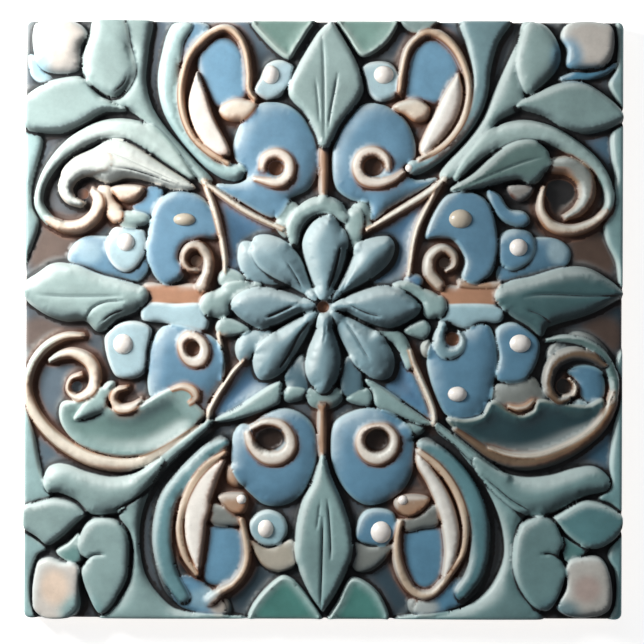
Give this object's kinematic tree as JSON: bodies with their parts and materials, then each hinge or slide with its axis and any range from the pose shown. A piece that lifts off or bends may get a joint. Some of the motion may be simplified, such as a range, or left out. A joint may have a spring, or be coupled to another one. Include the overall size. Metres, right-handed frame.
{
  "type": "printed floral tile",
  "caption": "Square pressed ceramic wall tile with a symmetric glazed floral relief: a rosette, a four-point star and curling leaves.",
  "frame": {"origin": "middle of the flat back face", "axes": "+Z out of the decorated face, +Y towards the top edge of the pattern, +X towards its right edge"},
  "size_m": [0.1524, 0.1524, 0.012],
  "materials": {
    "glaze": "glossy multicolour glaze in sage, teal, blue and cream, with brown oxide in the hollows"
  },
  "bodies": {
    "root": {"tile": "glaze"}
  },
  "joints": []
}
